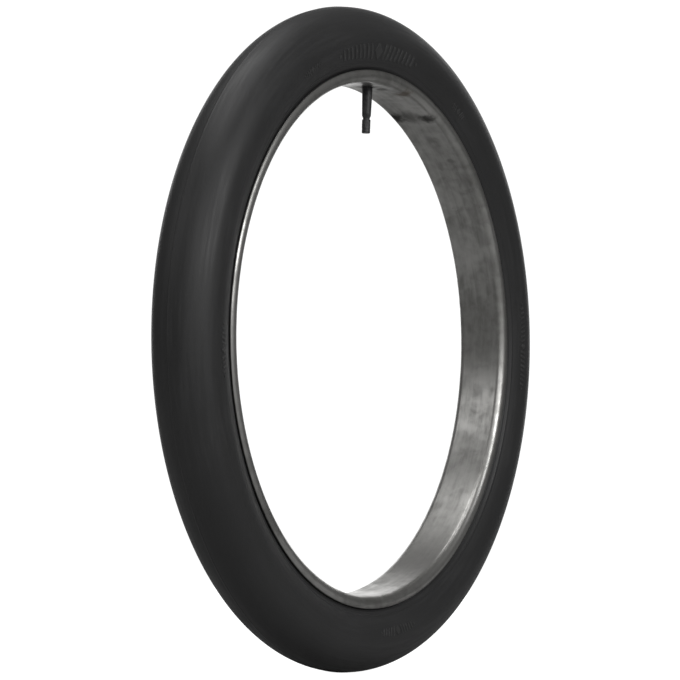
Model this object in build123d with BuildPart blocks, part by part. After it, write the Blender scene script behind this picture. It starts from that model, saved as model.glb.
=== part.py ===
"""A plain-tread 28 x 3 beaded-edge motorcycle tyre, fitted on its undrilled steel rim.

The wheel's centre is the origin and its axle is the Y axis, so the wheel lies in the XZ plane.
The valve is at the top and points down at the centre. Sizes are in millimetres.

A section is drawn as (across, radius): across is the distance from the wheel's middle plane,
and radius is the distance from the axle. Each casing layer is drawn at its own depth, which
is measured inwards from the outer face of the casing.
"""

import os
from math import acos, atan2, cos, degrees, hypot, radians, sin

from build123d import *

# ---- tyre ----
outer_radius = 355.6          # 28 inches across the tread
section_height = 82.0         # from the rim's hub face to the crown
section_half_width = 36.8     # a nominal 3 inch section
tread_thickness = 7.0         # at the crown, breaker included
tread_edge_angle = 40.0       # where tread and sidewall meet, up from the widest point
sidewall_thickness = 4.0      # at the casing's widest point
neck_rubber = 1.6             # sidewall rubber beside the rim's hook
hook_gap = 1.5                # open groove between the hook and the sidewall
ply_count = 4
ply_thickness = 0.6
breaker_thickness = 1.0
breaker_edge_angle = 50.0
chafer_thickness = 0.6
bead_clearance = 0.25         # between the bead and the rim
toe_core_radius = 0.6         # nose of the bead core, at the toe
toe_inset = 2.5               # across, from the hook's centre to the toe's
turn_up_angle = 40.0          # where the plies end, up round the heel

# ---- rim ----
rim_wall = 2.4
rim_hook_centre = 21.0        # across, the centre of the rolled edge
rim_hook_radius = 8.4         # outside of the rolled edge
rim_hook_angle = 33.0         # how far the edge rolls in past its widest point

# ---- inner tube and rim flap ----
flap_half_width = 9.6
flap_thickness = 1.5
flap_clearance = 0.1
tube_clearance = 0.1
tube_wall = 1.8

# ---- valve, measured from the rim's hub face down towards the wheel's centre ----
stem_root_radius = 5.7
stem_shoulder_radius = 4.85
stem_neck_radius = 3.75
stem_taper_length = 31.5
stem_rubber_length = 33.7
stem_hole_clearance = 0.45
foot_radius = 8.0
foot_thickness = 1.0
air_bore_radius = 1.3
insert_radius = 2.6
insert_flange_radius = 3.6
insert_flange_height = 2.5
insert_cover = 4.5            # rubber above the buried end of the brass insert
stem_length = 48.5            # down to the open end of the brass insert
thread_radius = 3.62          # pitch radius of the valve's outer thread
thread_clearance = 0.08

# ---- valve core, measured up from the valve's mouth ----
core_thread_radius = 2.55
core_thread_depth = 6.5
core_seat_depth = 8.0
core_chamber_radius = 1.9
core_chamber_depth = 26.0
core_clearance = 0.08
plug_start = 1.2
plug_end = 5.2
plug_head = 1.6
plug_flats = 3.2
plug_bore_radius = 0.9
barrel_end = 14.0
barrel_radius = 1.6
barrel_bore_radius = 1.2
barrel_step = 0.8
barrel_flange = 1.0
barrel_seal_start = 6.5
pin_start = 0.6
pin_radius = 0.4
pin_head_radius = 0.7
pin_head_length = 0.8
pin_collar_radius = 0.95
pin_collar_start = 6.3
pin_collar_thickness = 0.4
pin_tail = 0.6
pin_running_clearance = 0.08
cup_radius = 1.35
cup_wall = 0.35
cup_depth = 1.4
cup_gap = 0.03
seal_radius = 1.15
seal_thickness = 0.6
spring_wire_radius = 0.13
spring_turns = 7
spring_clearance = 0.05

# ---- valve cap ----
cap_radius = 4.6
cap_length = 14.7
cap_crown = 1.1
cap_edge = 0.9
cap_seal_thickness = 0.7
cap_seal_gap = 0.04
cap_rib_count = 24
cap_rib_radius = 0.22
cap_rib_length = 9.0

# The section is drawn below the axle, so that the closing seam of each ring is at the bottom.
section_plane = Plane(origin=(0, 0, 0), x_dir=(0, 1, 0), z_dir=(-1, 0, 0))


def polar(centre, radius, angle):
    """The point at this radius and angle, in degrees, round a centre."""
    return (
        centre[0] + radius * cos(radians(angle)),
        centre[1] + radius * sin(radians(angle)),
    )


def bearing(start, end):
    """The angle, in degrees, of the direction from one point to another."""
    return degrees(atan2(end[1] - start[1], end[0] - start[0]))


def side_centre(half_width, level, tip_distance):
    """How far across the lower side arc's centre is.

    The arc is upright at the section's widest point, and it clears the hook's tip by
    tip_distance.
    """
    reach = half_width + tip_distance
    drop = level - hook_tip[1]
    return (reach**2 - hook_tip[0] ** 2 - drop**2) / (2 * (reach - hook_tip[0]))


# ---- places that the layers share, as distances from the axle ----
rim_bed_radius = outer_radius - section_height
hook_centre = (rim_hook_centre, rim_bed_radius + rim_hook_radius)
hook_inner_radius = rim_hook_radius - rim_wall
hook_tip = polar(hook_centre, rim_hook_radius - rim_wall / 2, rim_hook_angle)
rim_seat_radius = rim_bed_radius + rim_wall
bead_radius = hook_inner_radius - bead_clearance

casing_thickness = ply_count * ply_thickness
bead_depth = casing_thickness + chafer_thickness
heel_core_radius = bead_radius - bead_depth
toe_radius = toe_core_radius + bead_depth
toe_centre = (rim_hook_centre - toe_inset, hook_centre[1] - bead_radius + toe_radius)

skin_level = outer_radius - section_half_width
skin_tip_distance = rim_wall / 2 + hook_gap
skin_side = (side_centre(section_half_width, skin_level, skin_tip_distance), skin_level)

casing_half_width = section_half_width - sidewall_thickness
casing_level = outer_radius - tread_thickness - casing_half_width
casing_tip_distance = skin_tip_distance + neck_rubber
casing_side = (
    side_centre(casing_half_width, casing_level, casing_tip_distance),
    casing_level,
)

# The casing leaves the hook's tip along the straight that just touches the toe's round.
toe_bearing = bearing(hook_tip, toe_centre)
toe_distance = hypot(toe_centre[0] - hook_tip[0], toe_centre[1] - hook_tip[1])
toe_offset = (toe_core_radius - casing_tip_distance) / toe_distance
slope_angle = toe_bearing + degrees(acos(toe_offset)) + 180

stem_shoulder = rim_bed_radius - stem_taper_length
stem_rubber_end = rim_bed_radius - stem_rubber_length
insert_top = rim_bed_radius - insert_cover
valve_mouth = rim_bed_radius - stem_length

core_top = hook_centre[1] + heel_core_radius * sin(radians(turn_up_angle))
flap_radius = rim_seat_radius + flap_clearance
tube_floor = flap_radius + flap_thickness + tube_clearance


# ---- section curves, for the side where across is positive ----
def casing_wall(depth):
    """The casing's curve from the crown to the bead."""
    side_end = bearing(casing_side, hook_tip)
    tip_start = side_end + 180
    CenterArc((0, casing_level), casing_half_width - depth, 90, -90)
    CenterArc(casing_side, casing_half_width - casing_side[0] - depth, 0, side_end)
    CenterArc(hook_tip, casing_tip_distance + depth, tip_start, slope_angle - tip_start)


def bead_slope(depth):
    """The straight inner face of the bead, from the neck to the toe."""
    neck = polar(hook_tip, casing_tip_distance + depth, slope_angle)
    toe = polar(toe_centre, toe_core_radius + depth, slope_angle)
    Line(neck, toe)


def bead_round(depth):
    """The curve round the toe, along the rim's bed and up round the heel."""
    toe_size = toe_core_radius + depth
    heel_size = heel_core_radius + depth
    CenterArc(toe_centre, toe_size, slope_angle, 270 - slope_angle)
    Line(polar(toe_centre, toe_size, -90), polar(hook_centre, heel_size, -90))
    CenterArc(hook_centre, heel_size, -90, 90 + turn_up_angle)


def ply_face(depth):
    """One ply, from the crown to the end of its turn-up, on both sides."""
    far = depth + ply_thickness
    with BuildSketch() as face:
        with BuildLine():
            for edge_depth in (depth, far):
                casing_wall(edge_depth)
                bead_slope(edge_depth)
                bead_round(edge_depth)
            Line(
                (0, casing_level + casing_half_width - depth),
                (0, casing_level + casing_half_width - far),
            )
            Line(
                polar(hook_centre, heel_core_radius + depth, turn_up_angle),
                polar(hook_centre, heel_core_radius + far, turn_up_angle),
            )
        make_face()
        mirror(about=Plane.YZ)
    return face.sketch


def tread_face():
    """The tread rubber on one side, with the breaker's place left open."""
    edge = tread_edge_angle
    breaker_radius = casing_half_width + breaker_thickness
    casing_centre = (0, casing_level)
    with BuildSketch() as face:
        with BuildLine():
            CenterArc((0, skin_level), section_half_width, 90, edge - 90)
            Line(
                polar((0, skin_level), section_half_width, edge),
                polar(casing_centre, casing_half_width, edge),
            )
            CenterArc(casing_centre, casing_half_width, edge, breaker_edge_angle - edge)
            Line(
                polar(casing_centre, casing_half_width, breaker_edge_angle),
                polar(casing_centre, breaker_radius, breaker_edge_angle),
            )
            CenterArc(casing_centre, breaker_radius, breaker_edge_angle, 90 - breaker_edge_angle)
            Line((0, casing_level + breaker_radius), (0, outer_radius))
        make_face()
        mirror(about=Plane.YZ)
    return face.sketch


def breaker_face():
    """The breaker strip, bonded between the casing and the tread."""
    span = 90 - breaker_edge_angle
    casing_centre = (0, casing_level)
    breaker_radius = casing_half_width + breaker_thickness
    with BuildSketch() as face:
        with BuildLine():
            CenterArc(casing_centre, casing_half_width, breaker_edge_angle, 2 * span)
            CenterArc(casing_centre, breaker_radius, breaker_edge_angle, 2 * span)
            for angle in (breaker_edge_angle, breaker_edge_angle + 2 * span):
                Line(
                    polar(casing_centre, casing_half_width, angle),
                    polar(casing_centre, breaker_radius, angle),
                )
        make_face()
    return face.sketch


def core_top_point():
    """Where the level top of the bead core meets the casing's straight inner face."""
    neck = polar(hook_tip, casing_tip_distance, slope_angle)
    heading = slope_angle + 90
    run = (core_top - neck[1]) / sin(radians(heading))
    return (neck[0] + run * cos(radians(heading)), core_top)


def sidewall_face():
    """The sidewall rubber, from the tread's edge down to the rim's hook."""
    edge = tread_edge_angle
    side_end = bearing(skin_side, hook_tip)
    tip_start = side_end + 180
    reach = rim_hook_radius - rim_wall / 2
    # The notch is where the curve round the hook's tip meets the bead's own round.
    notch_along = (bead_radius**2 - skin_tip_distance**2 + reach**2) / (2 * reach)
    notch_angle = rim_hook_angle + degrees(acos(notch_along / bead_radius))
    notch = polar(hook_centre, bead_radius, notch_angle)
    tip_end = bearing(hook_tip, notch) % 360
    casing_end = bearing(casing_side, hook_tip)
    casing_tip = casing_end + 180
    with BuildSketch() as face:
        with BuildLine():
            CenterArc((0, skin_level), section_half_width, edge, -edge)
            CenterArc(skin_side, section_half_width - skin_side[0], 0, side_end)
            CenterArc(hook_tip, skin_tip_distance, tip_start, tip_end - tip_start)
            CenterArc(hook_centre, bead_radius, notch_angle, turn_up_angle - notch_angle)
            Line(
                polar(hook_centre, bead_radius, turn_up_angle),
                polar(hook_centre, heel_core_radius, turn_up_angle),
            )
            Line(polar(hook_centre, heel_core_radius, turn_up_angle), core_top_point())
            Line(core_top_point(), polar(hook_tip, casing_tip_distance, slope_angle))
            CenterArc(hook_tip, casing_tip_distance, casing_tip, slope_angle - casing_tip)
            CenterArc(casing_side, casing_half_width - casing_side[0], 0, casing_end)
            CenterArc((0, casing_level), casing_half_width, 0, edge)
            Line(
                polar((0, casing_level), casing_half_width, edge),
                polar((0, skin_level), section_half_width, edge),
            )
        make_face()
    return face.sketch


def bead_core_face():
    """The hard rubber core, inside the turned-up plies, with a moulded flat above its heel."""
    toe = polar(toe_centre, toe_core_radius, slope_angle)
    heel_low = polar(hook_centre, heel_core_radius, -90)
    heel_wide = polar(hook_centre, heel_core_radius, 0)
    heel_top = polar(hook_centre, heel_core_radius, turn_up_angle)
    with BuildSketch() as face:
        with BuildLine():
            CenterArc(toe_centre, toe_core_radius, slope_angle, 270 - slope_angle)
            Line(polar(toe_centre, toe_core_radius, -90), heel_low)
            CenterArc(hook_centre, heel_core_radius, -90, 90)
            Line(heel_wide, heel_top)
            Line(heel_top, core_top_point())
            Line(core_top_point(), toe)
        make_face()
    return face.sketch


def chafer_face():
    """The canvas strip that covers the bead, outside the plies."""
    with BuildSketch() as face:
        with BuildLine():
            for depth in (casing_thickness, bead_depth):
                bead_slope(depth)
                bead_round(depth)
            Line(
                polar(hook_tip, casing_tip_distance + casing_thickness, slope_angle),
                polar(hook_tip, casing_tip_distance + bead_depth, slope_angle),
            )
            Line(
                polar(hook_centre, heel_core_radius + casing_thickness, turn_up_angle),
                polar(hook_centre, bead_radius, turn_up_angle),
            )
        make_face()
    return face.sketch


def tube_outline(inset):
    """A face filled out to the tube's wall, at this distance inside its outer surface."""
    wall_depth = casing_thickness + tube_clearance + inset
    toe_depth = bead_depth + tube_clearance + inset
    toe_size = toe_core_radius + toe_depth
    toe_side = toe_centre[0] - toe_size
    corner = toe_centre[1] - tube_floor - inset
    corner_centre = (toe_side - corner, toe_centre[1])
    with BuildSketch() as face:
        with BuildLine():
            casing_wall(wall_depth)
            Line(
                polar(hook_tip, casing_tip_distance + wall_depth, slope_angle),
                polar(hook_tip, casing_tip_distance + toe_depth, slope_angle),
            )
            bead_slope(toe_depth)
            CenterArc(toe_centre, toe_size, slope_angle, 180 - slope_angle)
            CenterArc(corner_centre, corner, 0, -90)
            Line((corner_centre[0], tube_floor + inset), (0, tube_floor + inset))
            Line(
                (0, tube_floor + inset),
                (0, casing_level + casing_half_width - wall_depth),
            )
        make_face()
        mirror(about=Plane.YZ)
    return face.sketch


def rim_face():
    """The rolled rim: a flat bed with an edge that curls in on each side."""
    tip_radius = rim_wall / 2
    with BuildSketch() as face:
        with BuildLine():
            Line((0, rim_bed_radius), (rim_hook_centre, rim_bed_radius))
            CenterArc(hook_centre, rim_hook_radius, -90, 90 + rim_hook_angle)
            CenterArc(hook_tip, tip_radius, rim_hook_angle, 180)
            CenterArc(hook_centre, hook_inner_radius, -90, 90 + rim_hook_angle)
            Line((rim_hook_centre, rim_seat_radius), (0, rim_seat_radius))
            Line((0, rim_seat_radius), (0, rim_bed_radius))
        make_face()
        mirror(about=Plane.YZ)
    return face.sketch


def save(piece, label):
    """Names a finished piece and writes its STEP file."""
    piece.label = label
    export_step(piece, f"parts/{label}.step")


os.makedirs("parts", exist_ok=True)

# ---- tyre carcass, from the inside out ----
for ply in range(ply_count):
    with BuildPart() as casing_ply:
        with BuildSketch(section_plane):
            add(ply_face((ply_count - 1 - ply) * ply_thickness))
        revolve(axis=Axis.Y)
    save(casing_ply.part, f"casing_ply_{ply + 1}")

with BuildPart() as breaker:
    with BuildSketch(section_plane):
        add(breaker_face())
    revolve(axis=Axis.Y)
save(breaker.part, "breaker_strip")

with BuildPart() as tread:
    with BuildSketch(section_plane):
        add(tread_face())
    revolve(axis=Axis.Y)
save(tread.part, "tread")

with BuildPart() as sidewall:
    with BuildSketch(section_plane):
        add(sidewall_face())
    revolve(axis=Axis.Y)

with BuildPart() as bead_core:
    with BuildSketch(section_plane):
        add(bead_core_face())
    revolve(axis=Axis.Y)

with BuildPart() as chafer:
    with BuildSketch(section_plane):
        add(chafer_face())
    revolve(axis=Axis.Y)

for name, piece in (("sidewall", sidewall), ("bead_core", bead_core), ("chafer", chafer)):
    save(piece.part, f"{name}_right")
    save(piece.part.mirror(Plane.XZ), f"{name}_left")

# ---- rim and rim flap, both holed for the valve ----
stem_hole_radius = stem_root_radius + stem_hole_clearance

with BuildPart() as rim:
    with BuildSketch(section_plane):
        add(rim_face())
    revolve(axis=Axis.Y)
    with BuildSketch(Plane.XY.offset(rim_bed_radius - rim_wall)):
        Circle(stem_hole_radius)
    extrude(amount=3 * rim_wall, mode=Mode.SUBTRACT)
save(rim.part, "rim")

with BuildPart() as flap:
    with BuildSketch(section_plane):
        with Locations((0, flap_radius + flap_thickness / 2)):
            Rectangle(2 * flap_half_width, flap_thickness)
    revolve(axis=Axis.Y)
    with BuildSketch(Plane.XY.offset(flap_radius - flap_thickness)):
        Circle(stem_hole_radius)
    extrude(amount=3 * flap_thickness, mode=Mode.SUBTRACT)
save(flap.part, "rim_flap")

# ---- inner tube, recessed for the foot of the valve stem ----
foot_top = tube_floor + foot_thickness

with BuildPart() as tube:
    with BuildSketch(section_plane):
        add(tube_outline(0))
    revolve(axis=Axis.Y)
    with BuildSketch(section_plane):
        add(tube_outline(tube_wall))
    revolve(axis=Axis.Y, mode=Mode.SUBTRACT)
    with BuildSketch(Plane.XY.offset(tube_floor - tube_wall)):
        Circle(foot_radius)
    extrude(amount=tube_wall + foot_thickness, mode=Mode.SUBTRACT)
    with BuildSketch(Plane.XY.offset(tube_floor - tube_wall)):
        Circle(air_bore_radius)
    extrude(amount=4 * tube_wall, mode=Mode.SUBTRACT)
save(tube.part, "inner_tube")

# ---- valve stem: moulded rubber round a brass insert ----
flange_start = insert_top - insert_flange_height

with BuildPart() as stem:
    with BuildSketch(Plane.XZ):
        with BuildLine():
            Polyline(
                (0, foot_top),
                (foot_radius, foot_top),
                (foot_radius, tube_floor),
                (stem_root_radius, tube_floor),
                (stem_root_radius, rim_bed_radius),
                (stem_shoulder_radius, stem_shoulder),
                (stem_neck_radius, stem_rubber_end),
                (0, stem_rubber_end),
                close=True,
            )
        make_face()
        with BuildLine():
            Polyline(
                (0, foot_top),
                (air_bore_radius, foot_top),
                (air_bore_radius, insert_top),
                (insert_flange_radius, insert_top),
                (insert_flange_radius, flange_start),
                (insert_radius, flange_start),
                (insert_radius, stem_rubber_end),
                (0, stem_rubber_end),
                close=True,
            )
        make_face(mode=Mode.SUBTRACT)
    revolve(axis=Axis.Z)
save(stem.part, "valve_stem_rubber")

with BuildPart() as insert:
    with BuildSketch(Plane.XZ):
        with BuildLine():
            Polyline(
                (air_bore_radius, insert_top),
                (insert_flange_radius, insert_top),
                (insert_flange_radius, flange_start),
                (insert_radius, flange_start),
                (insert_radius, stem_rubber_end),
                (thread_radius, stem_rubber_end),
                (thread_radius, valve_mouth),
                (core_thread_radius, valve_mouth),
                (core_thread_radius, valve_mouth + core_thread_depth),
                (core_chamber_radius, valve_mouth + core_seat_depth),
                (core_chamber_radius, valve_mouth + core_chamber_depth),
                (air_bore_radius, valve_mouth + core_chamber_depth),
                close=True,
            )
        make_face()
    revolve(axis=Axis.Z)
save(insert.part, "valve_insert")


# ---- valve core ----
def core_section(*points):
    """Half the section of a core piece, from (radius, height above the mouth) points."""
    with BuildSketch() as face:
        with BuildLine():
            Polyline(*[(radius, valve_mouth + height) for radius, height in points], close=True)
        make_face()
    return face.sketch


plug_radius = core_thread_radius - core_clearance
with BuildPart() as plug:
    with BuildSketch(Plane.XZ):
        add(
            core_section(
                (plug_bore_radius, plug_start),
                (plug_radius, plug_start),
                (plug_radius, plug_end),
                (plug_bore_radius, plug_end),
            )
        )
    revolve(axis=Axis.Z)
    with BuildSketch(Plane.XY.offset(valve_mouth + plug_start)):
        Circle(2 * plug_radius)
        Rectangle(plug_flats, 4 * plug_radius, mode=Mode.SUBTRACT)
    extrude(amount=plug_head, mode=Mode.SUBTRACT)
save(plug.part, "core_plug")

barrel_bore_end = barrel_end - barrel_step
barrel_way = pin_radius + 4 * pin_running_clearance
with BuildPart() as barrel:
    with BuildSketch(Plane.XZ):
        add(
            core_section(
                (barrel_bore_radius, plug_end),
                (core_chamber_radius, plug_end),
                (core_chamber_radius, plug_end + barrel_flange),
                (barrel_radius, plug_end + barrel_flange),
                (barrel_radius, barrel_end),
                (barrel_way, barrel_end),
                (barrel_way, barrel_bore_end),
                (barrel_bore_radius, barrel_bore_end),
            )
        )
    revolve(axis=Axis.Z)
save(barrel.part, "core_barrel")

seal_base_radius = core_thread_radius - core_clearance
seal_tip_radius = core_chamber_radius - core_clearance
with BuildPart() as barrel_seal:
    with BuildSketch(Plane.XZ):
        add(
            core_section(
                (barrel_radius, barrel_seal_start),
                (seal_base_radius, barrel_seal_start),
                (seal_tip_radius, core_seat_depth),
                (barrel_radius, core_seat_depth),
            )
        )
    revolve(axis=Axis.Z)
save(barrel_seal.part, "core_barrel_seal")

cup_start = barrel_end + cup_gap
pin_end = cup_start + cup_depth + pin_tail
with BuildPart() as pin:
    with BuildSketch(Plane.XZ):
        add(
            core_section(
                (0, pin_start),
                (pin_head_radius, pin_start),
                (pin_head_radius, pin_start + pin_head_length),
                (pin_radius, pin_start + pin_head_length),
                (pin_radius, pin_collar_start),
                (pin_collar_radius, pin_collar_start),
                (pin_collar_radius, pin_collar_start + pin_collar_thickness),
                (pin_radius, pin_collar_start + pin_collar_thickness),
                (pin_radius, pin_end),
                (0, pin_end),
            )
        )
    revolve(axis=Axis.Z)
save(pin.part, "core_pin")

with BuildPart() as cup_seal:
    with BuildSketch(Plane.XZ):
        add(
            core_section(
                (pin_radius, cup_start),
                (seal_radius, cup_start),
                (seal_radius, cup_start + seal_thickness),
                (pin_radius, cup_start + seal_thickness),
            )
        )
    revolve(axis=Axis.Z)
save(cup_seal.part, "core_cup_seal")

with BuildPart() as cup:
    with BuildSketch(Plane.XZ):
        add(
            core_section(
                (seal_radius, cup_start),
                (cup_radius, cup_start),
                (cup_radius, cup_start + cup_depth - cup_wall),
                (cup_radius - cup_wall, cup_start + cup_depth),
                (pin_radius, cup_start + cup_depth),
                (pin_radius, cup_start + seal_thickness),
                (seal_radius, cup_start + seal_thickness),
            )
        )
    revolve(axis=Axis.Z)
save(cup.part, "core_cup")

spring_low = valve_mouth + pin_collar_start + pin_collar_thickness + spring_clearance
spring_high = valve_mouth + barrel_bore_end - spring_clearance
spring_height = spring_high - spring_low - 2 * spring_wire_radius
spring_radius = (barrel_bore_radius + pin_radius) / 2
with BuildPart() as spring:
    with BuildLine() as coil:
        Helix(
            pitch=spring_height / spring_turns,
            height=spring_height,
            radius=spring_radius,
            center=(0, 0, spring_low + spring_wire_radius),
        )
    with BuildSketch(Plane(origin=coil.line @ 0, z_dir=coil.line % 0)):
        Circle(spring_wire_radius)
    sweep()
save(spring.part, "core_spring")

# ---- valve cap ----
cap_bore_radius = thread_radius + thread_clearance
cap_end = valve_mouth - cap_seal_gap - cap_seal_thickness - cap_crown
cap_mouth = cap_end + cap_length

with BuildPart() as cap:
    with BuildSketch(Plane.XY.offset(cap_end)):
        Circle(cap_radius)
    extrude(amount=cap_length)
    fillet(cap.edges().group_by(Axis.Z)[0], cap_edge)
    with BuildSketch(Plane.XY.offset(cap_end + cap_crown)):
        Circle(cap_bore_radius)
    extrude(amount=cap_length, mode=Mode.SUBTRACT)
    with BuildSketch(Plane.XY.offset(cap_end + 2 * cap_edge)):
        with PolarLocations(cap_radius, cap_rib_count):
            Circle(cap_rib_radius)
    extrude(amount=cap_rib_length, mode=Mode.SUBTRACT)
save(cap.part, "valve_cap")

with BuildPart() as cap_seal:
    with BuildSketch(Plane.XY.offset(cap_end + cap_crown)):
        Circle(cap_bore_radius - thread_clearance)
        Circle(core_thread_radius, mode=Mode.SUBTRACT)
    extrude(amount=cap_seal_thickness)
save(cap_seal.part, "cap_seal")
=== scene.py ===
"""Looks for a plain-tread motorcycle tire on its rolled steel rim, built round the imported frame.

A ring's section is drawn below the axle as (across, radius): across runs along the axle from the
middle plane, and radius is the distance from the axle. Section angles are measured from the
across direction towards the tread. Places round the wheel are clock angles, in degrees from the
valve, positive towards +X.
"""

from math import acos, atan2, ceil, cos, degrees, hypot, pi, radians, sin

import bmesh
import bpy
from bpy.props import FloatProperty, FloatVectorProperty, IntProperty, PointerProperty
from mathutils import Matrix, Quaternion, Vector


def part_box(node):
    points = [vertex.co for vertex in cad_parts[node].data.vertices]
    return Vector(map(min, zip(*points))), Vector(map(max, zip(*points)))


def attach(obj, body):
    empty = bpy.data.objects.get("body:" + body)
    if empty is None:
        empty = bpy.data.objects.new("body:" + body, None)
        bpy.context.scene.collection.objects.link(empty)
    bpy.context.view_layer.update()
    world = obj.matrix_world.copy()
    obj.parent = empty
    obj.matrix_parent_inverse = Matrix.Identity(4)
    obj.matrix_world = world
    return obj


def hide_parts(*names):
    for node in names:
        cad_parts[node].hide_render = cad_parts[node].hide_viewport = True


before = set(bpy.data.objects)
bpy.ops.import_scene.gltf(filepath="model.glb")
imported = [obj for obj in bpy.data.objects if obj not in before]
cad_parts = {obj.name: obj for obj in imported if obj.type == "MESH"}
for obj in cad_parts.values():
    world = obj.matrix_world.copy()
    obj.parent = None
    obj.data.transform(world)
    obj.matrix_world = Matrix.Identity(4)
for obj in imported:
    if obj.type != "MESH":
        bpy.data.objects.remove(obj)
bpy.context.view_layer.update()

bl_info = {
    "name": "Beaded-edge motorcycle tire",
    "version": (1, 0, 0),
    "blender": (4, 5, 0),
    "location": "View3D > Sidebar > Tire",
    "description": "Builds the tire, rim and valve round the packed frame",
    "category": "Object",
}

MM = 0.001
WHEEL = "wheel"
AXLE = Vector((0, 1, 0))
TREAD_LOW, TREAD_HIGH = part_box("tread")
SIDE_LOW, SIDE_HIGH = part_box("sidewall_right")
RIM_LOW, RIM_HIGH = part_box("rim")
STEM_LOW, STEM_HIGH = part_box("valve_stem_rubber")
INSERT_LOW, INSERT_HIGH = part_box("valve_insert")
CAP_LOW, CAP_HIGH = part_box("valve_cap")


# ---------------------------------------------------------------- sizes and colours
def length(name, description, default):
    """A size in metres."""
    return FloatProperty(
        name=name, description=description, default=default, min=0, unit="LENGTH", precision=5
    )


def clock(name, description, default):
    """A place or spread round the wheel or the section, in degrees."""
    return FloatProperty(name=name, description=description, default=default)


def colour(name, description, default):
    """A linear colour."""
    return FloatVectorProperty(
        name=name, description=description, default=default, size=3, min=0, max=1, subtype="COLOR"
    )


class TireSettings(bpy.types.PropertyGroup):
    """Sizes and colours of the tire's outer skin."""

    crown_radius: length("Crown radius", "Axle to the top of the crown seam", TREAD_HIGH.z)
    half_width: length("Half width", "Middle plane to the top of the marks", SIDE_HIGH.y)
    mark_height: length("Mark height", "How far the sidewall marks stand up", 0.5 * MM)
    seam_height: length("Seam height", "How far the crown's mould seam stands up", 0.25 * MM)
    seam_width: length("Seam width", "Width of the crown's mould seam", 1.1 * MM)
    rib_height: length("Rib height", "How far the ribs by the rim stand up", 0.28 * MM)
    rib_width: length("Rib width", "Width of each rib by the rim", 1.4 * MM)
    rib_angle: clock("Rib angle", "Section angle of the upper rib, below the widest point", 29)
    rib_gap_angle: clock("Rib spacing", "Section angle between the two ribs", 6)
    crown_thickness: length("Crown thickness", "Tread rubber at the crown", 6.7 * MM)
    side_thickness: length("Sidewall thickness", "Rubber at the widest point", 3.4 * MM)
    neck_thickness: length("Neck thickness", "Rubber beside the rim's hook", 1.6 * MM)
    hook_gap: length("Hook gap", "Open groove between hook and sidewall", 1.5 * MM)
    ring_steps: IntProperty(
        name="Ring steps", description="Facets round the ring", default=420, min=96, max=900
    )
    rubber: colour("Rubber", "The cured rubber", (0.0205, 0.0205, 0.0208))
    bloom: colour("Bloom", "The paler film on old rubber", (0.040, 0.040, 0.041))


class RimSettings(bpy.types.PropertyGroup):
    """Sizes and colours of the rolled steel rim."""

    top_radius: length("Top radius", "Axle to the top of the hook", RIM_HIGH.z)
    half_width: length("Half width", "Middle plane to the widest point", RIM_HIGH.y)
    wall: length("Wall", "Thickness of the rolled strip", 2.4 * MM)
    hook_radius: length("Hook radius", "Outside radius of the rolled edge", 8.4 * MM)
    hook_angle: clock("Hook angle", "How far the edge rolls in past its widest point", 33)
    hole_radius: length("Valve hole radius", "Hole for the valve stem", 6.15 * MM)
    weld_clock: clock("Weld place", "Clock angle of the butt weld", 20.8)
    weld_spread: clock("Weld spread", "Half width of the weld's ridge, round the wheel", 0.55)
    weld_height: length("Weld height", "How far the dressed weld stands up", 0.22 * MM)
    weld_step: length("Weld step", "How far the weld's notch cuts the near hook", 1.1 * MM)
    ring_steps: IntProperty(
        name="Ring steps", description="Facets round the ring", default=560, min=96, max=900
    )
    bright: colour("Bright steel", "Where the strip is polished by rolling", (0.46, 0.455, 0.44))
    dull: colour("Dull steel", "Where the strip is clouded", (0.235, 0.233, 0.222))
    # This colour is weld scale, and also painted shade round the valve's root.
    scale_and_shade: colour("Burnt steel", "Scale by the weld", (0.045, 0.043, 0.040))
    stain: colour("Stain", "Brown heat stain by the weld", (0.150, 0.118, 0.092))


class ValveSettings(bpy.types.PropertyGroup):
    """Sizes and colours of the valve stem, its thread and its cap."""

    root_radius: length("Root radius", "Rubber stem at the rim", 5.7 * MM)
    shoulder_radius: length("Shoulder radius", "Rubber stem above its neck", 4.85 * MM)
    neck_radius: length("Neck radius", "Rubber stem at the cap", 3.72 * MM)
    taper_length: length("Taper length", "Rim to the shoulder", 31.5 * MM)
    chamfer_length: length("Chamfer length", "Shoulder to the neck", 2.3 * MM)
    foot_radius: length("Foot radius", "Round foot bonded to the tube", 8.0 * MM)
    foot_thickness: length("Foot thickness", "Thickness of the foot", 1.0 * MM)
    insert_radius: length("Insert radius", "Brass inside the rubber", 2.6 * MM)
    thread_radius: length("Thread radius", "Crest of the outer thread", 3.66 * MM)
    thread_depth: length("Thread depth", "Crest to root", 0.3 * MM)
    thread_pitch: length("Thread pitch", "32 turns to the inch", 25.4 / 32 * MM)
    cap_ribs: IntProperty(name="Cap ribs", description="Grip ribs round the cap", default=20)
    rubber: colour("Stem rubber", "Moulded rubber of the stem", (0.020, 0.020, 0.021))
    plastic: colour("Cap plastic", "Moulded plastic of the cap", (0.022, 0.022, 0.023))
    brass: colour("Brass", "Plain brass of the valve", (0.62, 0.46, 0.20))


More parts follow.
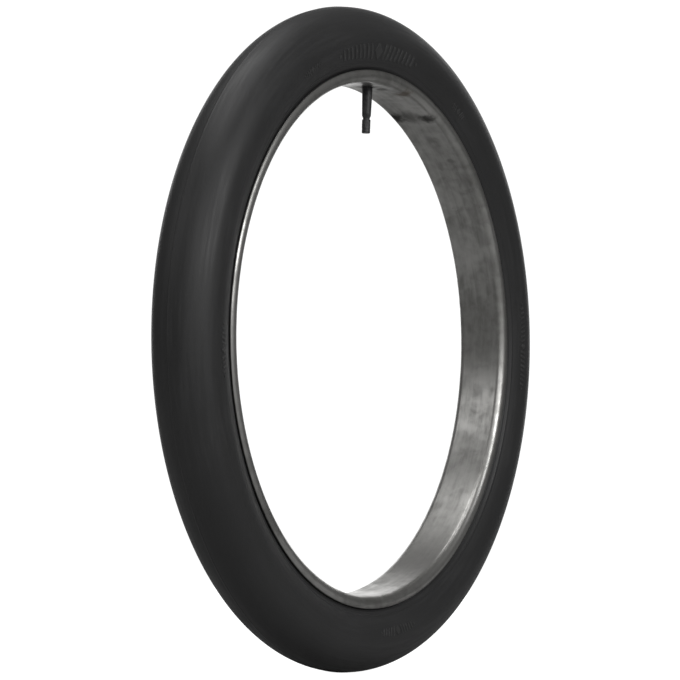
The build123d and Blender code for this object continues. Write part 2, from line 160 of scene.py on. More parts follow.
class StageSettings(bpy.types.PropertyGroup):
    """The camera, the floor and the lights."""

    azimuth: clock("Azimuth", "Camera's direction round the wheel", -58.75)
    elevation: clock("Elevation", "Camera's height angle", -4.15)
    roll: clock("Roll", "Camera's turn about its own line of sight", 1.98)
    distance: length("Distance", "Camera to the wheel's centre", 2.817)
    lens: FloatProperty(name="Lens", description="Focal length in mm", default=138.9)
    aim: FloatVectorProperty(
        name="Aim", description="Point that the camera looks at", default=(-0.0107, 0.0171, -0.0014)
    )
    floor_size: length("Floor size", "Side of the floor", 60.0)
    floor_tone: colour("Floor", "Pale studio floor", (0.42, 0.42, 0.42))
    floor_glow: FloatProperty(name="Floor glow", description="Glow that the camera sees", default=1.0)
    ambient: FloatProperty(name="Ambient", description="Light from all round", default=0.15)
    key_power: FloatProperty(name="Key", description="Soft box at the right, in watts", default=34)
    fill_power: FloatProperty(name="Fill", description="Wide box by the camera, in watts", default=28)
    top_power: FloatProperty(name="Top", description="Overhead soft box, in watts", default=30)
    rear_power: FloatProperty(name="Rear", description="Box at the rear left, in watts", default=7)
    back_power: FloatProperty(name="Backdrop", description="Glowing backdrop, in watts", default=60)


GROUPS = (
    ("tire", TireSettings),
    ("rim", RimSettings),
    ("valve", ValveSettings),
    ("stage", StageSettings),
)


def settings(name):
    """The settings of that name, as the panel shows them."""
    return getattr(bpy.context.scene, f"tire_part_{name}")


# ---------------------------------------------------------------- section geometry
def polar(centre, radius, angle):
    """The (across, radius) point at this distance and section angle from a centre."""
    return (
        centre[0] + radius * cos(radians(angle)),
        centre[1] + radius * sin(radians(angle)),
    )


def bearing(start, end):
    """The section angle, in degrees, from one point to another."""
    return degrees(atan2(end[1] - start[1], end[0] - start[0]))


def side_centre(half_width, level, tip, tip_distance):
    """How far across the lower side arc's centre is, when the arc clears the hook's tip."""
    reach = half_width + tip_distance
    drop = level - tip[1]
    return (reach**2 - tip[0] ** 2 - drop**2) / (2 * (reach - tip[0]))


def rim_hook(rim):
    """The centre of the rolled edge, and the centre of its rounded tip."""
    tip_distance = rim.hook_radius - rim.wall / 2
    rise = tip_distance * sin(radians(rim.hook_angle)) + rim.wall / 2
    centre = (rim.half_width - rim.hook_radius, rim.top_radius - rise)
    return centre, polar(centre, tip_distance, rim.hook_angle)


class Pen:
    """Draws a section as a chain of edges, one spun or extruded vertex at a time."""

    def __init__(self, bm, start, place):
        self.bm = bm
        self.place = place
        self.at = start
        self.first = bm.verts.new(place(*start))
        self.vert = self.first

    def arc(self, centre, sweep, steps):
        """Turns the last point about a centre, by an angle in degrees."""
        turn = (self.place(0, 1) - self.place(0, 0)).cross(self.place(1, 0) - self.place(0, 0))
        spun = bmesh.ops.spin(
            self.bm,
            geom=[self.vert],
            cent=self.place(*centre),
            axis=-turn,
            dvec=(0, 0, 0),
            angle=radians(sweep),
            steps=steps,
            use_duplicate=False,
        )
        self.vert = next(g for g in spun["geom_last"] if isinstance(g, bmesh.types.BMVert))
        radius = hypot(self.at[0] - centre[0], self.at[1] - centre[1])
        self.at = polar(centre, radius, bearing(centre, self.at) + sweep)

    def line(self, across, radius, steps=1):
        """Draws a straight to a point."""
        start = self.at
        for step in range(1, steps + 1):
            share = step / steps
            point = (
                start[0] + (across - start[0]) * share,
                start[1] + (radius - start[1]) * share,
            )
            made = bmesh.ops.extrude_vert_indiv(self.bm, verts=[self.vert])
            self.vert = made["verts"][0]
            shift = self.place(*point) - self.vert.co
            bmesh.ops.translate(self.bm, verts=[self.vert], vec=shift)
        self.at = (across, radius)

    def ridge(self, centre, width, height, turn):
        """Draws a low rounded ridge on an arc about a centre, turning the given way."""
        radius = hypot(self.at[0] - centre[0], self.at[1] - centre[1])
        angle = bearing(centre, self.at)
        span = degrees(width / radius) * turn
        for share, rise in ((0.25, 0.72), (0.5, 1.0), (0.75, 0.72), (1.0, 0.0)):
            self.line(*polar(centre, radius + height * rise, angle + span * share))

    def close(self):
        """Joins the last point to the first."""
        self.bm.edges.new((self.vert, self.first))


def ring_place(across, radius):
    """Where a section point of the wheel is drawn: below the axle."""
    return Vector((0, across, -radius))


def valve_place(radius, height):
    """Where a section point of the valve is drawn, from its own axis."""
    return Vector((radius, 0, height))


def spin_ring(bm, axis, steps):
    """Spins the drawn section once round an axis and closes the ring."""
    bmesh.ops.spin(
        bm,
        geom=bm.verts[:] + bm.edges[:],
        cent=(0, 0, 0),
        axis=axis,
        dvec=(0, 0, 0),
        angle=2 * pi,
        steps=steps,
        use_merge=True,
        use_duplicate=False,
    )
    bmesh.ops.remove_doubles(bm, verts=bm.verts, dist=1e-6)
    bmesh.ops.recalc_face_normals(bm, faces=bm.faces)


def finish_piece(bm, name, body, material, sharp=35):
    """Makes a smooth-shaded object of a bmesh, riding on its body."""
    for face in bm.faces:
        face.smooth = True
    for edge in bm.edges:
        if len(edge.link_faces) == 2 and edge.calc_face_angle(0) > radians(sharp):
            edge.smooth = False
    mesh = bpy.data.meshes.new(name)
    bm.to_mesh(mesh)
    bm.free()
    piece = bpy.data.objects.new(name, mesh)
    bpy.context.scene.collection.objects.link(piece)
    mesh.materials.append(material)
    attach(piece, body)
    return piece


def apply_modifiers(piece):
    """Replaces a piece's mesh by what its modifiers make of it."""
    bpy.context.view_layer.update()
    graph = bpy.context.evaluated_depsgraph_get()
    made = bpy.data.meshes.new_from_object(piece.evaluated_get(graph))
    piece.modifiers.clear()
    piece.data = made


# ---------------------------------------------------------------- shader helpers
def add_node(tree, kind, **values):
    """Adds a node; values name its properties or, where it has none of that name, its inputs."""
    node = tree.nodes.new(kind)
    for key, value in values.items():
        if hasattr(node, key):
            setattr(node, key, value)
        else:
            node.inputs[key.replace("_", " ")].default_value = value
    return node


def join(tree, source, target):
    """Links an output socket to an input socket."""
    tree.links.new(source, target)


def maths(tree, operation, first, second=0.0):
    """A math node on two sockets or numbers; gives its output."""
    node = add_node(tree, "ShaderNodeMath", operation=operation)
    for socket, value in zip(node.inputs, (first, second)):
        if isinstance(value, (int, float)):
            socket.default_value = value
        else:
            join(tree, value, socket)
    return node.outputs[0]


def spread(tree, value, low, high, to_low=0.0, to_high=1.0):
    """Maps low..high smoothly to to_low..to_high."""
    node = add_node(tree, "ShaderNodeMapRange", interpolation_type="SMOOTHSTEP")
    join(tree, value, node.inputs["Value"])
    for name, number in (
        ("From Min", low), ("From Max", high), ("To Min", to_low), ("To Max", to_high)
    ):
        if isinstance(number, (int, float)):
            node.inputs[name].default_value = number
        else:
            join(tree, number, node.inputs[name])
    return node.outputs["Result"]


def blend_colour(tree, mask, first, second):
    """Mixes two colours by a mask; a colour is a socket or three numbers."""
    node = add_node(tree, "ShaderNodeMix", data_type="RGBA", clamp_factor=True)
    join(tree, mask, node.inputs["Factor"])
    for socket, value in zip((node.inputs[6], node.inputs[7]), (first, second)):
        if hasattr(value, "links"):
            join(tree, value, socket)
        else:
            socket.default_value = (*value, 1)
    return node.outputs[2]


def new_group(name, inputs, outputs):
    """A shader node group with named float inputs and outputs, and its end nodes."""
    group = bpy.data.node_groups.new(name, "ShaderNodeTree")
    for key, default in inputs:
        kind = "NodeSocketVector" if isinstance(default, tuple) else "NodeSocketFloat"
        socket = group.interface.new_socket(key, in_out="INPUT", socket_type=kind)
        socket.default_value = default
    for key in outputs:
        group.interface.new_socket(key, in_out="OUTPUT", socket_type="NodeSocketFloat")
    return group, group.nodes.new("NodeGroupInput"), group.nodes.new("NodeGroupOutput")


def ring_streaks_group():
    """Noise drawn out round the axle, as rolling and buffing leave it."""
    group, given, result = new_group(
        "Ring Streaks", [("Along", 4.0), ("Across", 400.0), ("Detail", 4.0)], ["Mask"]
    )
    place = add_node(group, "ShaderNodeTexCoord")
    split = add_node(group, "ShaderNodeSeparateXYZ")
    join(group, place.outputs["Object"], split.inputs[0])
    x, y, z = split.outputs
    square = maths(group, "ADD", maths(group, "MULTIPLY", x, x), maths(group, "MULTIPLY", z, z))
    radius = maths(group, "SQRT", square)
    drawn = add_node(group, "ShaderNodeCombineXYZ")
    for socket, value in zip((drawn.inputs[0], drawn.inputs[2]), (x, z)):
        unit = maths(group, "DIVIDE", value, radius)
        join(group, maths(group, "MULTIPLY", unit, given.outputs["Along"]), socket)
    join(group, maths(group, "MULTIPLY", y, given.outputs["Across"]), drawn.inputs[1])
    noise = add_node(group, "ShaderNodeTexNoise", noise_dimensions="4D", Scale=1.0, Roughness=0.6)
    join(group, drawn.outputs[0], noise.inputs["Vector"])
    join(group, maths(group, "MULTIPLY", radius, given.outputs["Across"]), noise.inputs["W"])
    join(group, given.outputs["Detail"], noise.inputs["Detail"])
    join(group, noise.outputs["Fac"], result.inputs["Mask"])
    return group


def cloud_group():
    """Soft patches of noise with a chosen size and contrast."""
    group, given, result = new_group(
        "Cloud",
        [("Scale", 10.0), ("Detail", 3.0), ("Warp", 0.3), ("Low", 0.4), ("High", 0.6), ("Seed", 0.0)],
        ["Mask"],
    )
    place = add_node(group, "ShaderNodeTexCoord")
    noise = add_node(group, "ShaderNodeTexNoise", noise_dimensions="4D")
    join(group, place.outputs["Object"], noise.inputs["Vector"])
    for key in ("Scale", "Detail"):
        join(group, given.outputs[key], noise.inputs[key])
    join(group, given.outputs["Warp"], noise.inputs["Distortion"])
    join(group, given.outputs["Seed"], noise.inputs["W"])
    mask = spread(group, noise.outputs["Fac"], given.outputs["Low"], given.outputs["High"])
    join(group, mask, result.inputs["Mask"])
    return group


def patch_group():
    """A ragged patch about one place, such as a stain."""
    group, given, result = new_group(
        "Patch",
        [("Centre", (0.0, 0.0, 0.0)), ("Stretch", (1.0, 1.0, 1.0)), ("Reach", 0.01), ("Ragged", 0.5)],
        ["Mask"],
    )
    place = add_node(group, "ShaderNodeTexCoord")
    away = add_node(group, "ShaderNodeVectorMath", operation="SUBTRACT")
    join(group, place.outputs["Object"], away.inputs[0])
    join(group, given.outputs["Centre"], away.inputs[1])
    scaled = add_node(group, "ShaderNodeVectorMath", operation="MULTIPLY")
    join(group, away.outputs[0], scaled.inputs[0])
    join(group, given.outputs["Stretch"], scaled.inputs[1])
    size = add_node(group, "ShaderNodeVectorMath", operation="LENGTH")
    join(group, scaled.outputs[0], size.inputs[0])
    noise = add_node(group, "ShaderNodeTexNoise", Scale=160.0, Detail=5.0, Roughness=0.65)
    join(group, place.outputs["Object"], noise.inputs["Vector"])
    rough = maths(group, "MULTIPLY", maths(group, "SUBTRACT", noise.outputs["Fac"], 0.5),
                  given.outputs["Ragged"])
    share = maths(group, "DIVIDE", size.outputs["Value"], given.outputs["Reach"])
    mask = spread(group, maths(group, "ADD", share, rough), 1.0, 0.15)
    join(group, mask, result.inputs["Mask"])
    return group


GROUP_MAKERS = {"Ring Streaks": ring_streaks_group, "Cloud": cloud_group, "Patch": patch_group}


def effect(tree, name, **values):
    """Places a shared effect with its own values; gives its mask."""
    group = bpy.data.node_groups.get(name) or GROUP_MAKERS[name]()
    node = add_node(tree, "ShaderNodeGroup", node_tree=group)
    for key, value in values.items():
        node.inputs[key].default_value = value
    return node.outputs["Mask"]


def new_material(name, **values):
    """A material with a Principled shader; values are set on its sockets."""
    material = bpy.data.materials.new(name)
    material.use_nodes = True
    tree = material.node_tree
    shader = tree.nodes["Principled BSDF"]
    for key, value in values.items():
        shader.inputs[key.replace("_", " ")].default_value = value
    return material, tree, shader


def bump(tree, shader, height, distance, strength=1.0, before=None):
    """Adds a bump to a shader, over an earlier one if given; gives its normal."""
    node = add_node(tree, "ShaderNodeBump", Distance=distance, Strength=strength)
    join(tree, height, node.inputs["Height"])
    if before is not None:
        join(tree, before, node.inputs["Normal"])
    join(tree, node.outputs["Normal"], shader.inputs["Normal"])
    return node.outputs["Normal"]


def clock_point(clock_angle, radius, across):
    """The point at a clock angle, a radius and a distance across."""
    turn = radians(clock_angle)
    return Vector((radius * sin(turn), across, radius * cos(turn)))


# ---------------------------------------------------------------- materials
def tire_rubber():
    """Cured black rubber with faint bloom, buffing streaks and specks."""
    tire = settings("tire")
    material, tree, shader = new_material("tire_rubber", Roughness=0.5)
    shader.inputs["Specular IOR Level"].default_value = 0.42
    bloom = effect(tree, "Cloud", Scale=7.0, Detail=4.0, Warp=0.6, Low=0.38, High=0.72, Seed=3.0)
    streaks = effect(tree, "Ring Streaks", Along=5.0, Across=260.0, Detail=3.0)
    specks = effect(tree, "Cloud", Scale=420.0, Detail=2.0, Warp=0.0, Low=0.70, High=0.76, Seed=8.0)
    film = maths(tree, "MULTIPLY", bloom, spread(tree, streaks, 0.42, 0.66, 0.25, 1.0))
    tone = blend_colour(tree, maths(tree, "MULTIPLY", film, 0.55), tire.rubber, tire.bloom)
    tone = blend_colour(tree, maths(tree, "MULTIPLY", specks, 0.35), tone, tire.bloom)
    join(tree, tone, shader.inputs["Base Color"])
    gloss = spread(tree, streaks, 0.3, 0.7, 0.42, 0.54)
    gloss = maths(tree, "ADD", gloss, maths(tree, "MULTIPLY", film, 0.08))
    join(tree, gloss, shader.inputs["Roughness"])
    normal = bump(tree, shader, streaks, 0.05 * MM)
    grain = effect(tree, "Cloud", Scale=900.0, Detail=3.0, Warp=0.0, Low=0.2, High=0.8, Seed=1.0)
    normal = bump(tree, shader, grain, 0.03 * MM, before=normal)
    waves = effect(tree, "Cloud", Scale=9.0, Detail=1.0, Warp=0.2, Low=0.2, High=0.8, Seed=5.0)
    bump(tree, shader, waves, 0.35 * MM, before=normal)
    return material


def rolled_steel():
    """Bare rolled strip: streaked, clouded, and scorched and stained by the weld, with painted shade
    round the valve's root.
    """
    rim = settings("rim")
    material, tree, shader = new_material("rolled_steel", Metallic=1.0)
    hook, tip = rim_hook(rim)
    bed = hook[1] - rim.hook_radius
    weld = rim.weld_clock
    fine = effect(tree, "Ring Streaks", Along=7.0, Across=900.0, Detail=5.0)
    broad = effect(tree, "Ring Streaks", Along=5.0, Across=150.0, Detail=4.0)
    cloud = effect(tree, "Cloud", Scale=11.0, Detail=6.0, Warp=0.4, Low=0.30, High=0.72, Seed=2.0)
    mottle = effect(tree, "Cloud", Scale=70.0, Detail=6.0, Warp=0.6, Low=0.25, High=0.75, Seed=6.0)
    mix = maths(tree, "ADD", maths(tree, "MULTIPLY", broad, 0.50), maths(tree, "MULTIPLY", cloud, 0.28))
    mix = maths(tree, "ADD", mix, maths(tree, "MULTIPLY", mottle, 0.22))
    mix = maths(tree, "ADD", mix, maths(tree, "MULTIPLY", fine, 0.12))
    tone = blend_colour(tree, spread(tree, mix, 0.30, 0.85), rim.bright, rim.dull)
    # Burnt scale runs along the weld, heaviest where the bed turns up into the edges; the patch at
    # clock 0 is painted shade round the valve's root.
    marks = (
        (weld, bed, 0.021, 0.014, 0.95, "scale_and_shade"),
        (weld + 1.2, bed, -0.017, 0.012, 0.85, "scale_and_shade"),
        (weld, bed, 0.002, 0.019, 0.45, "scale_and_shade"),
        (weld - 12.3, bed + 1.5 * MM, -0.022, 0.012, 0.75, "stain"),
        # Painted shade: this patch darkens the bed round the valve stem's root in the scale colour.
        (0.0, bed, 0.0, 0.012, 0.85, "scale_and_shade"),
        (3.2, bed, -0.009, 0.008, 0.55, "scale_and_shade"),
        (38.0, bed, -0.012, 0.006, 0.35, "scale_and_shade"),
    )
    scale_stain_and_shade = None
    for place, radius, across, reach, strength, kind in marks:
        mask = effect(tree, "Patch", Centre=clock_point(place, radius, across),
                      Stretch=(1.0, 0.85, 1.0), Reach=reach, Ragged=1.1)
        mask = maths(tree, "MULTIPLY", mask, strength)
        tone = blend_colour(tree, mask, tone, getattr(rim, kind))
        scale_stain_and_shade = mask if scale_stain_and_shade is None else maths(tree, "MAXIMUM", scale_stain_and_shade, mask)
    pits = effect(tree, "Cloud", Scale=210.0, Detail=2.0, Warp=0.0, Low=0.72, High=0.77, Seed=4.0)
    tone = blend_colour(tree, maths(tree, "MULTIPLY", pits, 0.5), tone, rim.scale_and_shade)
    join(tree, tone, shader.inputs["Base Color"])
    rough = maths(tree, "ADD", spread(tree, mix, 0.3, 0.85, 0.32, 0.48),
                  maths(tree, "MULTIPLY", scale_stain_and_shade, 0.25))
    join(tree, rough, shader.inputs["Roughness"])
    normal = bump(tree, shader, fine, 0.015 * MM)
    normal = bump(tree, shader, broad, 0.10 * MM, before=normal)
    dents = effect(tree, "Cloud", Scale=16.0, Detail=2.0, Warp=0.2, Low=0.2, High=0.8, Seed=9.0)
    bump(tree, shader, dents, 0.16 * MM, before=normal)
    return material


def plain_finish(name, base, worn, roughness, metallic=0.0, scale=300.0, depth=0.02):
    """A base colour broken up by fine clouds, for small and hidden pieces."""
    material, tree, shader = new_material(name, Metallic=metallic)
    cloud = effect(tree, "Cloud", Scale=scale, Detail=4.0, Warp=0.2, Low=0.35, High=0.7, Seed=2.0)
    join(tree, blend_colour(tree, cloud, base, worn), shader.inputs["Base Color"])
    rough = spread(tree, cloud, 0.0, 1.0, roughness - 0.06, roughness + 0.08)
    join(tree, rough, shader.inputs["Roughness"])
    bump(tree, shader, cloud, depth * MM)
    return material


def woven(name, base, shade, threads, roughness=0.85):
    """Rubbered cord or canvas: threads crossing at two slants round the axle."""
    material, tree, shader = new_material(name)
    place = add_node(tree, "ShaderNodeTexCoord")
    split = add_node(tree, "ShaderNodeSeparateXYZ")
    join(tree, place.outputs["Object"], split.inputs[0])
    x, y, z = split.outputs
    turn = maths(tree, "ARCTAN2", x, z)
    weave = None
    for slant in (-1.0, 1.0):
        run = maths(tree, "ADD", maths(tree, "MULTIPLY", turn, 0.3 * threads),
                    maths(tree, "MULTIPLY", y, slant * threads))
        wave = maths(tree, "SINE", run)
        weave = wave if weave is None else maths(tree, "MULTIPLY", weave, wave)
    mask = spread(tree, weave, -0.6, 0.8)
    join(tree, blend_colour(tree, mask, shade, base), shader.inputs["Base Color"])
    join(tree, spread(tree, mask, 0.0, 1.0, roughness + 0.08, roughness - 0.08),
         shader.inputs["Roughness"])
    bump(tree, shader, mask, 0.2 * MM)
    return material


# ---------------------------------------------------------------- tire
def tire_section():
    """The places that the skin's arcs share."""
    tire = settings("tire")
    rim = settings("rim")
    hook, tip = rim_hook(rim)
    half_width = tire.half_width - tire.mark_height
    level = tire.crown_radius - tire.seam_height - half_width
    tip_distance = rim.wall / 2 + tire.hook_gap
    side = (side_centre(half_width, level, tip, tip_distance), level)
    return half_width, level, hook, tip, tip_distance, side


def draw_skin_side(pen, sign):
    """Draws one side of the tire's skin from the crown seam down to the hook's groove."""
    tire = settings("tire")
    half_width, level, hook, tip, tip_distance, side = tire_section()
    mirrored = (sign * side[0], side[1])
    crown = (0, level)
    seam_half = degrees(tire.seam_width / 2 / half_width)
    side_end = bearing(side, tip)
    rib_span = degrees(tire.rib_width / (half_width - side[0]))
    pen.arc(crown, -sign * (90 - seam_half), 54)
    pen.arc(mirrored, -sign * tire.rib_angle, 14)
    pen.ridge(mirrored, tire.rib_width, tire.rib_height, -sign)
    pen.arc(mirrored, -sign * (tire.rib_gap_angle - rib_span), 3)
    pen.ridge(mirrored, tire.rib_width, tire.rib_height, -sign)
    left = -side_end - tire.rib_angle - tire.rib_gap_angle - rib_span
    pen.arc(mirrored, -sign * left, 6)


def build_tire_skin():
    """Spins the tread and both sidewalls as one skin, as they are cured."""
    tire = settings("tire")
    half_width, level, hook, tip, tip_distance, side = tire_section()
    seam_half = degrees(tire.seam_width / 2 / half_width)
    crown = (0, level)
    inner_half = half_width - tire.side_thickness
    inner_level = tire.crown_radius - tire.crown_thickness - inner_half
    inner_tip = tip_distance + tire.neck_thickness
    inner_side = (side_centre(inner_half, inner_level, tip, inner_tip), inner_level)
    groove_start = bearing(side, tip) + 180
    groove_sweep = 100.0
    inner_sweep = -bearing(inner_side, tip)
    bm = bmesh.new()
    # The two halves are drawn from the seam outwards and joined by the inner face.
    ends = []
    for sign in (1, -1):
        start = polar(crown, half_width, 90 - sign * seam_half)
        pen = Pen(bm, start, ring_place)
        top = pen.vert
        draw_skin_side(pen, sign)
        pen.arc((sign * tip[0], tip[1]), sign * groove_sweep, 14)
        ends.append((pen, top, sign))
    ridge = Pen(bm, polar(crown, half_width, 90 + seam_half), ring_place)
    ridge.ridge(crown, tire.seam_width, tire.seam_height, -1)
    neck = polar(inner_side, inner_half - inner_side[0], -inner_sweep)
    right_pen, left_pen = ends[0][0], ends[1][0]
    right_pen.line(*neck, steps=2)
    right_pen.arc(inner_side, inner_sweep, 16)
    right_pen.arc((0, inner_level), 180, 60)
    right_pen.arc((-inner_side[0], inner_level), inner_sweep, 16)
    right_pen.line(*left_pen.at, steps=2)
    bmesh.ops.remove_doubles(bm, verts=bm.verts, dist=1e-6)
    spin_ring(bm, AXLE, tire.ring_steps)
    return bm


def on_sidewall(flat, clock_angle, middle, sign):
    """Wraps a flat mark point (along, up, out) on to the sidewall."""
    half_width, level, hook, tip, tip_distance, side = tire_section()
    out = flat.z
    angle = middle + degrees(flat.y / (half_width - side[0]))
    if angle < 0:
        centre, radius = side, half_width - side[0]
    else:
        centre, radius = (0, level), half_width
    across, up = polar(centre, radius + out, angle)
    turn = clock_angle + degrees(flat.x / level)
    return clock_point(turn, up, sign * across)


def bar(bm, centre, size, slant=0.0, corners=4, turned=False):
    """Adds a flat-topped raised bar, lozenge or disc in mark space, already subdivided."""
    height = settings("tire").mark_height
    sink = -0.5 * MM
    flat = bmesh.new()
    bmesh.ops.create_circle(flat, cap_ends=True, segments=corners, radius=0.5)
    if corners == 4 and not turned:
        bmesh.ops.rotate(flat, verts=flat.verts, matrix=Matrix.Rotation(pi / 4, 3, "Z"))
        bmesh.ops.scale(flat, verts=flat.verts, vec=(2**0.5, 2**0.5, 1))
    bmesh.ops.scale(flat, verts=flat.verts, vec=(size[0], size[1], 1))
    bmesh.ops.rotate(flat, verts=flat.verts, matrix=Matrix.Rotation(radians(slant), 3, "Z"))
    bmesh.ops.translate(flat, verts=flat.verts, vec=(centre[0], centre[1], sink))
    raised = bmesh.ops.extrude_face_region(flat, geom=flat.faces[:])
    tops = [g for g in raised["geom"] if isinstance(g, bmesh.types.BMVert)]
    bmesh.ops.translate(flat, verts=tops, vec=(0, 0, height - sink))
    rim_edges = [e for e in flat.edges if all(v in tops for v in e.verts)]
    soft = 0.35 * min(height, min(size) / 2)
    bmesh.ops.bevel(flat, geom=rim_edges, offset=soft, offset_type="OFFSET", affect="EDGES",
                    segments=2, profile=0.5, material=-1)
    # Cuts across the long way let the mark bend round the sidewall.
    reach = max(size)
    count = ceil(reach / (2.0 * MM))
    for axis in (0, 1):
        middle = centre[axis]
        for step in range(1, count):
            at = middle - reach / 2 + reach * step / count
            normal = [0.0, 0.0, 0.0]
            normal[axis] = 1.0
            point = [0.0, 0.0, 0.0]
            point[axis] = at
            bmesh.ops.bisect_plane(flat, geom=flat.verts[:] + flat.edges[:] + flat.faces[:],
                                   plane_co=point, plane_no=normal, dist=1e-7)
    mesh = bpy.data.meshes.new("mark")
    bmesh.ops.recalc_face_normals(flat, faces=flat.faces)
    flat.to_mesh(mesh)
    flat.free()
    bm.from_mesh(mesh)
    bpy.data.meshes.remove(mesh)


def mark_row(bm, span, tall, count):
    """A row of slanted bars that fans out from a lozenge, with a dot at each end."""
    bar(bm, (0, 0), (0.8 * tall, tall), corners=4, turned=True)
    pitch = (span / 2 - 0.6 * tall) / (count + 0.5)
    for side in (-1, 1):
        for step in range(count):
            along = side * (0.6 * tall + pitch * (step + 0.3))
            height = tall * (0.92 - 0.30 * step / count)
            bar(bm, (along, 0), (0.42 * pitch, height), slant=-16 * side)
        bar(bm, (side * (span / 2 - 0.2 * pitch), 0), (0.5 * pitch, 0.5 * pitch), corners=14)


def build_marks(sign):
    """All raised marks of one sidewall, wrapped on to it."""
    bm = bmesh.new()
    places = (
        (168 * MM, 19 * MM, 8, -6.8, -15.0),
        (36 * MM, 8 * MM, 3, -32.5, -10.0),
        (32 * MM, 9 * MM, 3, 28.0, -19.5),
        (54 * MM, 9 * MM, 4, -96.5, -9.0),
        (104 * MM, 9 * MM, 8, 87.0, -9.0),
        (72 * MM, 11 * MM, 5, 172.3, -8.0),
    )
    for span, tall, count, place, middle in places:
        patch = bmesh.new()
        mark_row(patch, span, tall, count)
        for vert in patch.verts:
            vert.co = on_sidewall(vert.co, place, middle, sign)
        mesh = bpy.data.meshes.new("marks")
        patch.to_mesh(mesh)
        patch.free()
        bm.from_mesh(mesh)
        bpy.data.meshes.remove(mesh)
    bmesh.ops.recalc_face_normals(bm, faces=bm.faces)
    return bm


class TIRE_OT_skin(bpy.types.Operator):
    """Build the tread and sidewalls as one moulded skin"""

    bl_idname = "tire_part.skin"
    bl_label = "Tire skin"

    def execute(self, context):
        rubber = tire_rubber()
        bm = build_tire_skin()
        skin = finish_piece(bm, "tire_skin", WHEEL, rubber, sharp=60)
        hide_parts("tread", "sidewall_left", "sidewall_right")
        return {"FINISHED"}


class TIRE_OT_marks(bpy.types.Operator):
    """Build the raised marks of both sidewalls"""

    bl_idname = "tire_part.marks"
    bl_label = "Sidewall marks"

    def execute(self, context):
        # The marks' rubber is paler than the tire's rubber: a painted highlight on the raised marks.
        rubber = plain_finish("mark_rubber_painted_highlight", (0.030,) * 3, (0.042,) * 3, 0.48, scale=180)
        for name, sign in (("marks_left", -1), ("marks_right", 1)):
            finish_piece(build_marks(sign), name, WHEEL, rubber)
        return {"FINISHED"}


# ---------------------------------------------------------------- rim
def build_rim():
    """Spins the rolled rim and dresses its weld."""
    rim = settings("rim")
    hook, tip = rim_hook(rim)
    bed = hook[1] - rim.hook_radius
    inner = rim.hook_radius - rim.wall
    bm = bmesh.new()
    pen = Pen(bm, (-hook[0], bed), ring_place)
    pen.line(hook[0], bed, steps=12)
    pen.arc(hook, 90 + rim.hook_angle, 26)
    pen.arc(tip, 180, 10)
    pen.arc(hook, -(90 + rim.hook_angle), 20)
    pen.line(-hook[0], bed + rim.wall, steps=12)
    pen.arc((-hook[0], hook[1]), -(90 + rim.hook_angle), 20)
    pen.arc((-tip[0], tip[1]), 180, 10)
    pen.arc((-hook[0], hook[1]), 90 + rim.hook_angle, 26)
    bmesh.ops.remove_doubles(bm, verts=bm.verts, dist=1e-6)
    spin_ring(bm, AXLE, rim.ring_steps)
    dress_weld(bm, rim, hook)
    return bm


def dress_weld(bm, rim, hook):
    """Raises the weld's ridge on the hub side and cuts its notch in the near hook."""
    for vert in bm.verts:
        radius = hypot(vert.co.x, vert.co.z)
        turn = degrees(atan2(vert.co.x, vert.co.z)) - rim.weld_clock
        if abs(turn) > 6 * rim.weld_spread:
            continue
        ridge = 2.718 ** (-((turn / rim.weld_spread) ** 2))
        middle = Vector((vert.co.x, 0, vert.co.z)) / radius
        hub_side = radius < hook[1] - rim.hook_radius + rim.wall / 2
        if hub_side:
            vert.co -= middle * rim.weld_height * ridge
        if vert.co.y < -hook[0] and radius > hook[1]:
            share = (radius - hook[1]) / rim.hook_radius
            notch = 2.718 ** (-(((turn + 0.35) / (1.1 * rim.weld_spread)) ** 2))
            vert.co -= middle * rim.weld_step * notch * share


class TIRE_OT_rim(bpy.types.Operator):
    """Build the rolled steel rim, holed for the valve"""

    bl_idname = "tire_part.rim"
    bl_label = "Rim"

    def execute(self, context):
        rim = settings("rim")
        steel = rolled_steel()
        bm = build_rim()
        piece = finish_piece(bm, "steel_rim", WHEEL, steel, sharp=50)
        cutter_mesh = bmesh.new()
        bmesh.ops.create_cone(
            cutter_mesh, cap_ends=True, segments=64,
            radius1=rim.hole_radius, radius2=rim.hole_radius, depth=12 * MM,
            matrix=Matrix.Translation((0, 0, rim.top_radius - 14 * MM)),
        )
        mesh = bpy.data.meshes.new("hole")
        cutter_mesh.to_mesh(mesh)
        cutter_mesh.free()
        cutter = bpy.data.objects.new("hole", mesh)
        context.scene.collection.objects.link(cutter)
        cut = piece.modifiers.new("valve hole", "BOOLEAN")
        cut.operation = "DIFFERENCE"
        cut.solver = "EXACT"
        cut.object = cutter
        apply_modifiers(piece)
        bpy.data.objects.remove(cutter)
        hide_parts("rim")
        return {"FINISHED"}


